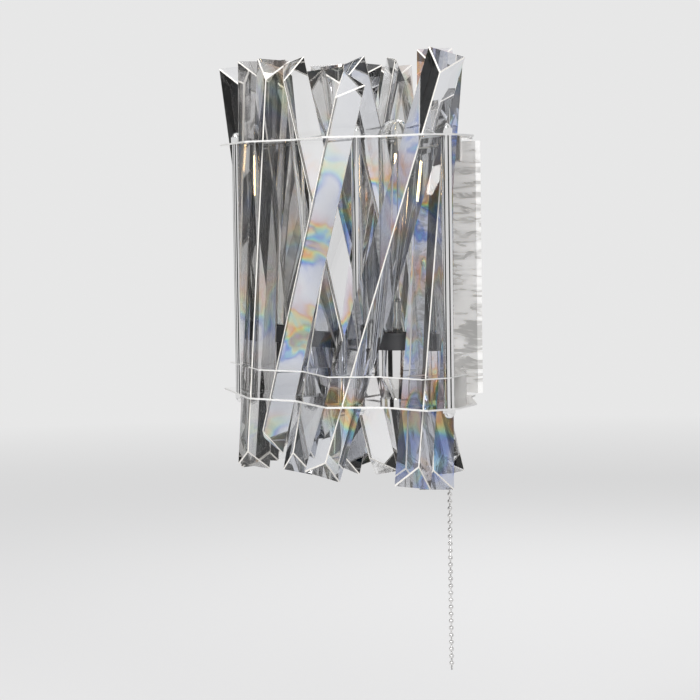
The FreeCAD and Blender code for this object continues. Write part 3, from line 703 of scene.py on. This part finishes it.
# ------------------------------------------------------------------ the light's sub-assemblies
@dataclass
class CrystalPrisms:
    """The leaning prisms: each is rebuilt with narrow bevels along its edges, which carry a painted
    highlight.
    """

    count: int = 22
    bevel: float = 0.6 * MM
    lively: tuple[int, ...] = (2, 3, 4, 9, 1, 22, 10)
    lively_amount: float = 1.1
    lively_patch: float = 0.47
    lively_colour: Colour = (0.85, 0.86, 0.885)
    lively_smoke: Colour = (0.6, 0.62, 0.675)
    quiet_amount: float = 0.35
    quiet_patch: float = 0.56
    shift_step: Colour = (0.37, 0.21, 0.13)
    fewest_bands: float = 11.0
    bands_step: float = 2.5
    band_kinds: int = 4

    def corners(self, node: bpy.types.Object) -> np.ndarray:
        """Finds the six corners of a prism.

        Args:
            node: the CAD node.
        Returns:
            Three lower corners and then the three above them, in the same order round.
        """
        points = np.array([v.co for v in node.data.vertices])
        points = np.unique(np.round(points, 7), axis=0)
        middle = points.mean(0)
        line = np.linalg.svd(points - middle)[2][0]
        line *= np.sign(line[2])
        height = (points - middle) @ line
        order = np.argsort(height)
        low, high = points[order[:3]], points[order[-3:]]
        side = low - middle - np.outer((low - middle) @ line, line)
        across = np.cross(line, side[0])
        low = low[np.argsort(np.arctan2(side @ across, side @ side[0]))]
        flat_low = low - np.outer((low - middle) @ line, line)
        flat_high = high - np.outer((high - middle) @ line, line)
        nearest = np.linalg.norm(flat_low[:, None] - flat_high[None], axis=2).argmin(1)
        return np.concatenate([low, high[nearest]])

    def shape(self, name: str, corners: np.ndarray) -> bpy.types.Object:
        """Makes the bevelled prism from its corners.

        Args:
            name: the piece's name.
            corners: three lower and three upper corners.
        Returns:
            The new object.
        """
        work = bmesh.new()
        verts = [work.verts.new(corner) for corner in corners]
        for ring in ((2, 1, 0), (3, 4, 5), (0, 1, 4, 3), (1, 2, 5, 4), (2, 0, 3, 5)):
            work.faces.new([verts[i] for i in ring])
        bmesh.ops.recalc_face_normals(work, faces=work.faces)
        highlight_bevel = bmesh.ops.bevel(work, geom=work.edges[:], offset=self.bevel, segments=1,
                                 affect="EDGES", profile=0.5, clamp_overlap=True)
        # the bevel faces take the painted edge highlight
        for face in highlight_bevel["faces"]:
            face.material_index = 1
        mesh = bpy.data.meshes.new(name)
        work.to_mesh(mesh)
        work.free()
        return placed(name, mesh)

    def finish(self, number: int) -> CrystalFinish:
        """The finish of one prism: its patches are moved on, and its bands are closer, by its number.

        Args:
            number: the prism's number.
        Returns:
            Its finish.
        """
        name = f"cut_crystal_{number:02d}"
        bands = self.fewest_bands + number % self.band_kinds * self.bands_step
        shift = tuple(step * number for step in self.shift_step)
        if number in self.lively:
            return CrystalFinish(name, bands, self.lively_amount, self.lively_patch, shift,
                                 self.lively_colour, self.lively_smoke)
        return CrystalFinish(name, bands, self.quiet_amount, self.quiet_patch, shift)

    def build(self, nodes: dict[str, bpy.types.Object], finishes: Finishes) -> None:
        """Builds and dresses every prism, each with its own painted play of colour.

        Args:
            nodes: the CAD nodes by name.
            finishes: the finishes.
        """
        for number in range(1, self.count + 1):
            node = f"prism_{number:02d}"
            thing = self.shape(f"crystal_{number:02d}", self.corners(nodes[node]))
            thing.data.materials.append(self.finish(number).material())
            thing.data.materials.append(finishes.made["painted_edge_highlight"])
            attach(thing, "lamp")
            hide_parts(node)
        LOG.info("crystal prisms: %d", self.count)


@dataclass
class Bulb:
    """One long clear bulb: glass tube, stem, supports, lit coil and threaded cap."""

    side: str
    tube_radius: float = 11.0 * MM
    wall: float = 0.9 * MM
    neck_radius: float = 6.3 * MM
    neck_length: float = 7.5 * MM
    stem_radius: float = 2.8 * MM
    stem_length: float = 26.0 * MM
    wire_radius: float = 0.28 * MM
    coil_radius: float = 0.75 * MM
    coil_wire: float = 0.16 * MM
    coil_turns: int = 20
    thread_depth: float = 0.5 * MM
    thread_pitch: float = 2.8 * MM
    thread_fade: float = 2 * MM
    thread_rings: int = 70
    thread_sides: int = 48
    cap_foot: float = 0.5 * MM
    coil_foot_drop: float = 27.4 * MM
    coil_head_drop: float = 0.4 * MM
    wire_gap: float = 1.8 * MM
    wire_root: float = 0.6 * MM

    def glass(self, axis: Vector, low: float, high: float) -> bpy.types.Object:
        """Turns the glass: up the outside, over the dome, and down the inside.

        Args:
            axis: a point on the bulb's axis.
            low: the neck's lower end.
            high: the top of the dome.
        Returns:
            The glass.
        """
        def skin(inward: float) -> list[tuple[float, float]]:
            """One skin's profile, from the neck up to the top of the dome.

            Args:
                inward: how far it lies inside the outer skin.
            Returns:
                Radius and height pairs.
            """
            radius = self.tube_radius - inward
            centre = high - self.tube_radius
            rise = np.linspace(0, 1, 12)
            ease = rise * rise * (3 - 2 * rise)
            foot = self.neck_radius - inward
            swell = radius - self.neck_radius + inward
            neck = [(foot + swell * float(e), low + self.neck_length * float(t)) for e, t in zip(ease, rise)]
            turn = np.linspace(0, math.pi / 2, 18)
            dome = [(radius * math.cos(a), centre + radius * math.sin(a)) for a in turn]
            return neck + dome
        outer, inner = skin(0.0), skin(self.wall)
        profile = outer + inner[::-1] + outer[:1]
        return lathe(f"{self.side}_glass_envelope", profile, Vector((axis.x, axis.y, 0)), 72)

    def cap(self, axis: Vector, low: float, high: float, radius: float) -> bpy.types.Object:
        """Makes the threaded cap: the radius swells and shrinks once in each pitch, as a screw.

        Args:
            axis: a point on the bulb's axis.
            low: the thread's lower end.
            high: the cap's upper end.
            radius: the thread's outer radius.
        Returns:
            The cap.
        """
        heights = np.linspace(low, high, self.thread_rings)[:, None]
        angle = np.linspace(0, 2 * math.pi, self.thread_sides, endpoint=False)[None]
        wave = 0.5 - 0.5 * np.cos(2 * math.pi * (heights - low) / self.thread_pitch - angle)
        fade = np.clip(np.minimum(heights - low, high - heights) / self.thread_fade, 0, 1)
        size = radius - self.thread_depth * (1 - wave * fade)
        rings = np.stack([axis.x + size * np.cos(angle), axis.y + size * np.sin(angle),
                          heights + 0 * angle], -1)
        ends = [np.tile(np.array([axis.x, axis.y, z]), (1, self.thread_sides, 1))
                for z in (low - self.cap_foot, high)]
        points = np.concatenate([ends[0], rings, ends[1]]).reshape(-1, 3)
        faces = grid_faces(self.thread_rings + 2, self.thread_sides, True)
        return mesh_object(f"{self.side}_threaded_cap", points, faces)

    def inside(self, axis: Vector, low: float, coil_low: float, coil_high: float) -> list[bpy.types.Object]:
        """Makes the stem, the two supports with their hooks, and the coil.

        Args:
            axis: a point on the bulb's axis.
            low: the stem's lower end.
            coil_low: the coil's lower end.
            coil_high: the coil's upper end.
        Returns:
            The stem, the supports and the coil.
        """
        r, s = self.stem_radius, self.stem_length
        stem = lathe(f"{self.side}_glass_stem",
                     [(0, low), (r * 1.7, low), (r * 1.1, low + 0.2 * s), (r * 0.8, low + 0.5 * s),
                      (r * 0.9, low + 0.9 * s), (r * 0.5, low + s), (0, low + s)],
                     Vector((axis.x, axis.y, 0)), 32)
        wires = []
        for number, (sign, top) in enumerate(((-1, coil_low), (1, coil_high))):
            away = sign * self.wire_gap
            path = np.array([[axis.x + sign * self.wire_root, axis.y, low + 0.9 * s],
                             [axis.x + away, axis.y, low + s + 6 * MM],
                             [axis.x + away, axis.y, (low + s + top) / 2],
                             [axis.x + away, axis.y, top - 1.2 * MM],
                             [axis.x + away * 0.6, axis.y, top - 0.1 * MM],
                             [axis.x + sign * self.coil_radius * 0.6, axis.y, top]])
            wires.append(tube(f"{self.side}_support_{number}", path, self.wire_radius))
        turn = np.linspace(0, 2 * math.pi * self.coil_turns, self.coil_turns * 14)
        rise = np.linspace(coil_low, coil_high, len(turn))
        line = np.stack([axis.x + self.coil_radius * np.cos(turn),
                         axis.y + self.coil_radius * np.sin(turn), rise], 1)
        coil = tube(f"{self.side}_lit_coil", line, self.coil_wire, 6)
        return [stem, joined(f"{self.side}_wire_supports", wires), coil]

    def build(self, finishes: Finishes) -> None:
        """Builds the bulb in place of its nodes.

        Args:
            finishes: the finishes.
        """
        body = f"{self.side}_bulb"
        low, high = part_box(f"{self.side}_bulb_glass")
        cap_low, cap_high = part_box(f"{self.side}_bulb_cap")
        wire_low, wire_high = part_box(f"{self.side}_filament")
        axis = (low + high) / 2
        glass = self.glass(axis, low.z, high.z)
        cap = self.cap(axis, cap_low.z + self.cap_foot, cap_high.z, (cap_high.x - cap_low.x) / 2)
        stem, supports, coil = self.inside(axis, wire_low.z, wire_high.z - self.coil_foot_drop,
                                           wire_high.z - self.coil_head_drop)
        for piece, finish, slot in ((glass, "bulb_glass", "bulb_glass"),
                                    (cap, "screw_cap_metal", "brass_cap"),
                                    (stem, "bulb_glass", "filament_metal"),
                                    (supports, "spring_wire", "filament_metal"),
                                    (coil, "lit_filament", "filament_metal")):
            finishes.dress(piece, finish)
            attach(piece, body)
        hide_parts(f"{self.side}_bulb_glass")
        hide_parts(f"{self.side}_bulb_cap")
        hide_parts(f"{self.side}_filament")
        LOG.info("%s bulb built", self.side)


@dataclass
class BallChain:
    """The pull chain: hollow plated beads, each with a seam, on short rods."""

    bead_radius: float = 1.6 * MM
    pitch: float = 4.7 * MM
    rod_radius: float = 0.5 * MM
    seam: float = 0.05
    seam_spread: float = 0.09
    upper_beads: int = 9
    lower_beads: int = 25

    def bead(self, centre: Vector) -> bpy.types.Object:
        """Turns one bead: a circle's profile with a shallow groove round its waist.

        Args:
            centre: the bead's middle.
        Returns:
            The bead.
        """
        angle = np.linspace(-math.pi / 2, math.pi / 2, 25)
        radius = self.bead_radius * (1 - self.seam * np.exp(-(angle / self.seam_spread) ** 2))
        profile = list(zip((radius * np.cos(angle)).tolist(), (radius * np.sin(angle)).tolist()))
        profile[0], profile[-1] = (0.0, profile[0][1]), (0.0, profile[-1][1])
        return lathe("bead", profile, centre, 24)

    def run(self, node: str, body: str, first: float, count: int, finishes: Finishes) -> None:
        """Builds one stretch of chain in place of its node.

        Args:
            node: the CAD node, which gives the rod's ends.
            body: the body it moves with.
            first: height of the highest bead's middle.
            count: how many beads it has.
            finishes: the finishes.
        """
        low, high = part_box(node)
        axis = (low + high) / 2
        pieces = [self.bead(Vector((axis.x, axis.y, first - step * self.pitch))) for step in range(count)]
        if count > 1:
            ends = [(0, low.z), (self.rod_radius, low.z), (self.rod_radius, high.z), (0, high.z)]
            pieces.append(lathe("rod", ends, Vector((axis.x, axis.y, 0)), 16))
        chain = joined(node + "_beads", pieces)
        finishes.dress(chain, "bead_plating")
        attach(chain, body)
        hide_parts(node)

    def build(self, finishes: Finishes) -> None:
        """Builds the upper run, the link bead and the hanging run.

        Args:
            finishes: the finishes.
        """
        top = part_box("chain_upper")[1].z
        pivot = middle_of("chain_link").z
        self.run("chain_upper", "pull", top - self.pitch / 2, self.upper_beads, finishes)
        self.run("chain_link", "link", pivot, 1, finishes)
        self.run("chain_lower", "hanging_chain", pivot - self.pitch, self.lower_beads, finishes)
        LOG.info("ball chain built")


@dataclass
class Metalwork:
    """The CAD nodes that keep their own shape, each with its finish."""

    groups: tuple[tuple[str, tuple[str, ...]], ...] = (
        ("polished_sheet", ("upper_plate", "lower_plate", "wiring_cover")),
        ("rippled_mirror", ("back_plate",)),
        ("zinc_plating", ("wall_bracket", "bracket_studs", "tab_screws")),
        ("polished_plating", ("wall_cap_nuts", "tie_rods", "spacer_tubes", "top_cap_nuts",
                              "bottom_cap_nuts", "near_cone", "far_cone", "near_cup", "far_cup",
                              "switch_nozzle", "nozzle_nut", "switch_plunger")),
        ("dark_moulding", ("near_holder", "far_holder")),
        ("pale_moulding", ("switch_case", "switch_lid", "switch_rotor", "terminal_block")),
        ("grommet_rubber", ("cable_bush",)),
    )

    def build(self, nodes: dict[str, bpy.types.Object], finishes: Finishes) -> None:
        """Dresses every node in the groups.

        Args:
            nodes: the CAD nodes by name.
            finishes: the finishes.
        """
        for finish, names in self.groups:
            for name in names:
                finishes.dress(nodes[name], finish)
        LOG.info("metalwork dressed")


@dataclass
class ReturnSpring:
    """The pull switch's return spring, copied from its CAD coil."""

    seat: float = -82.2 * MM
    travel: float = 5.0 * MM
    merge: float = 0.001 * MM

    def build(self, nodes: dict[str, bpy.types.Object], finishes: Finishes) -> None:
        """Copies the coil, merges its doubled points, and puts the spring finish on it.

        Args:
            nodes: the CAD nodes by name.
            finishes: the finishes.
        """
        mesh = nodes["switch_spring"].data.copy()
        work = bmesh.new()
        work.from_mesh(mesh)
        bmesh.ops.remove_doubles(work, verts=work.verts, dist=self.merge)
        work.to_mesh(mesh)
        work.free()
        thing = placed("return_spring_coil", mesh)
        finishes.dress(thing, "spring_wire")
        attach(thing, "lamp")
        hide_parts("switch_spring")
        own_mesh(thing)
        LOG.info("return spring")


# ------------------------------------------------------------------ studio
@dataclass
class Studio:
    """The pale floor, the soft lights, dark cards that draw the edges, and the camera."""

    camera_place: Vector = Vector((1.3271, -0.9341, 0.0437))
    azimuth: float = math.radians(57.0)
    pitch: float = math.radians(3.54)
    roll: float = math.radians(0.83)
    focal_pixels: float = 2370.0
    frame_pixels: float = 700.0
    floor_drop: float = 0.42
    cards: tuple[Colour, ...] = ((-75, 1.1, 0.5), (8, 1.1, 0.45), (120, 1.2, 0.5), (186, 1.2, 0.4),
                                 (165, 1.5, 0.3), (-120, 1.3, 0.4))
    floor_size: float = 40.0
    floor_near: float = 0.6
    floor_far: float = 3.5
    surround: Colour = (0.8, 0.8, 0.8)
    floor_colour: Colour = (0.6, 0.6, 0.6)
    floor_lift: float = 0.25
    card_black: Colour = (0.006, 0.006, 0.006)
    card_height: float = 1.8
    card_centre: Colour = (0, -0.06, 0.05)
    aim: Vector = Vector((0, -0.06, 0))
    plain_light: Colour = (0.42, 0.42, 0.43)
    sensor_width: float = 36.0
    lamps: tuple[tuple[str, Colour, float, float, Colour], ...] = (
        ("key", (0.2, -1.7, 1.1), 0.8, 26.0, (1, 0.99, 0.97)),
        ("fill", (1.5, -0.75, 0.75), 0.9, 11.0, (0.97, 0.98, 1)),
        ("rim", (-1.2, 1.2, 0.9), 0.7, 14.0, (1, 1, 1)),
    )

    def camera(self) -> None:
        """Points the camera: its right, up and back axes are turned by azimuth, pitch and roll."""
        right = Vector((math.cos(self.azimuth), math.sin(self.azimuth), 0))
        ahead = Vector((-math.sin(self.azimuth) * math.cos(self.pitch),
                        math.cos(self.azimuth) * math.cos(self.pitch), -math.sin(self.pitch)))
        up = right.cross(ahead)
        turned_right = right * math.cos(self.roll) - up * math.sin(self.roll)
        turned_up = right * math.sin(self.roll) + up * math.cos(self.roll)
        data = bpy.data.cameras.new("view")
        data.sensor_width = self.sensor_width
        data.lens = data.sensor_width * self.focal_pixels / self.frame_pixels
        camera = bpy.data.objects.new("view", data)
        matrix = Matrix((turned_right, turned_up, -ahead)).transposed().to_4x4()
        camera.matrix_world = Matrix.Translation(self.camera_place) @ matrix
        bpy.context.scene.collection.objects.link(camera)
        bpy.context.scene.camera = camera

    def matt(self, name: str, colour: Colour) -> bpy.types.Material:
        """Makes a plain matt material.

        Args:
            name: the material's name.
            colour: its colour.
        Returns:
            The material.
        """
        material, _, shader = new_material(name)
        shader.inputs["Base Color"].default_value = (*colour, 1.0)
        shader.inputs["Roughness"].default_value = 0.9
        return material

    def floor(self) -> None:
        """Lays the pale floor below the chain."""
        half = self.floor_size / 2
        points = np.array([[-half, -half, -self.floor_drop], [half, -half, -self.floor_drop],
                           [half, half, -self.floor_drop], [-half, half, -self.floor_drop]])
        floor = mesh_object("floor", points, np.array([[0, 1, 2, 3]]), False)
        floor.data.materials.append(self.floor_material())

    def floor_material(self) -> bpy.types.Material:
        """Pale floor that melts into the surround with distance and keeps shadows close by.

        Returns:
            The material.
        """
        material = self.matt("pale_floor", self.surround)
        n = Nodes(material.node_tree)
        shader = material.node_tree.nodes["Principled BSDF"]
        length = n.add("VectorMath", operation="LENGTH")
        n.join(n.stretched((1, 1, 0)), length.inputs[0])
        away = n.add("MapRange")
        n.join(length.outputs["Value"], away.inputs[0])
        away.inputs[1].default_value = self.floor_near
        away.inputs[2].default_value = self.floor_far
        n.join(n.mix(away.outputs[0], self.floor_colour, (0, 0, 0)), shader.inputs["Base Color"])
        lift = n.math("ADD", n.math("MULTIPLY", away.outputs[0], 1 - self.floor_lift), self.floor_lift)
        n.join(n.math("MULTIPLY", lift, self.seen(n)), shader.inputs["Emission Strength"])
        shader.inputs["Emission Color"].default_value = (*self.surround, 1.0)
        shader.inputs["Specular IOR Level"].default_value = 0.0
        return material

    def seen(self, n: Nodes) -> bpy.types.NodeSocket:
        """One where the eye, metal or glass looks, and nought for plain light.

        Args:
            n: the builder of the material's or the world's nodes.
        Returns:
            The number.
        """
        path = n.add("LightPath")
        return n.math("MAXIMUM", path.outputs["Is Camera Ray"],
                      n.math("MAXIMUM", path.outputs["Is Glossy Ray"], path.outputs["Is Transmission Ray"]))

    def card(self, name: str, bearing: float, distance: float, width: float) -> None:
        """Stands a dark card beside the object, seen only in reflections and through glass.

        Args:
            name: the card's name.
            bearing: its direction in degrees, from +X towards +Y.
            distance: how far out it stands.
            width: its width.
        """
        turn = math.radians(bearing)
        out = np.array([math.cos(turn), math.sin(turn), 0])
        across = np.array([-math.sin(turn), math.cos(turn), 0]) * width / 2
        up = np.array([0, 0, self.card_height / 2])
        middle = out * distance + np.array(self.card_centre)
        points = np.array([middle - across - up, middle + across - up, middle + across + up,
                           middle - across + up])
        card = mesh_object(name, points, np.array([[0, 1, 2, 3]]), False)
        card.data.materials.append(self.matt(name + "_black", self.card_black))
        card.visible_camera = False
        card.visible_shadow = False
        card.visible_diffuse = False

    def light(self, name: str, place: Colour, size: float, power: float, colour: Colour) -> None:
        """Hangs one square soft light that faces the object.

        Args:
            name: the light's name.
            place: where it hangs.
            size: the side of its square.
            power: its power in watts.
            colour: its colour.
        """
        data = bpy.data.lights.new(name, "AREA")
        data.shape = "SQUARE"
        data.size = size
        data.energy = power
        data.color = colour
        lamp = bpy.data.objects.new(name, data)
        lamp.location = place
        lamp.visible_transmission = False
        lamp.rotation_euler = (self.aim - Vector(place)).to_track_quat("-Z", "Y").to_euler()
        bpy.context.scene.collection.objects.link(lamp)

    def world(self) -> None:
        """A pale surround: brighter behind for the eye, glass and metal, plain for light."""
        world = bpy.data.worlds.new("surround")
        bpy.context.scene.world = world
        world.use_nodes = True
        n = Nodes(world.node_tree)
        background = world.node_tree.nodes["Background"]
        n.join(n.mix(self.seen(n), self.plain_light, self.surround), background.inputs[0])

    def build(self) -> None:
        """Sets the whole studio up."""
        self.camera()
        self.floor()
        self.world()
        for number, (bearing, distance, width) in enumerate(self.cards):
            self.card(f"dark_card_{number}", bearing, distance, width)
        for name, place, size, power, colour in self.lamps:
            self.light(name, place, size, power, colour)
        bpy.context.scene.view_settings.view_transform = "Standard"
        LOG.info("studio ready")


def main() -> None:
    """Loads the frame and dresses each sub-assembly."""
    logging.basicConfig(level=logging.INFO, format="%(name)s: %(message)s")
    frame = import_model()
    Studio().build()
    finishes = Finishes()
    Metalwork().build(frame["nodes"], finishes)
    ReturnSpring().build(frame["nodes"], finishes)
    CrystalPrisms().build(frame["nodes"], finishes)
    for side in ("near", "far"):
        Bulb(side).build(finishes)
    BallChain().build(finishes)


if __name__ == "__main__":
    main()
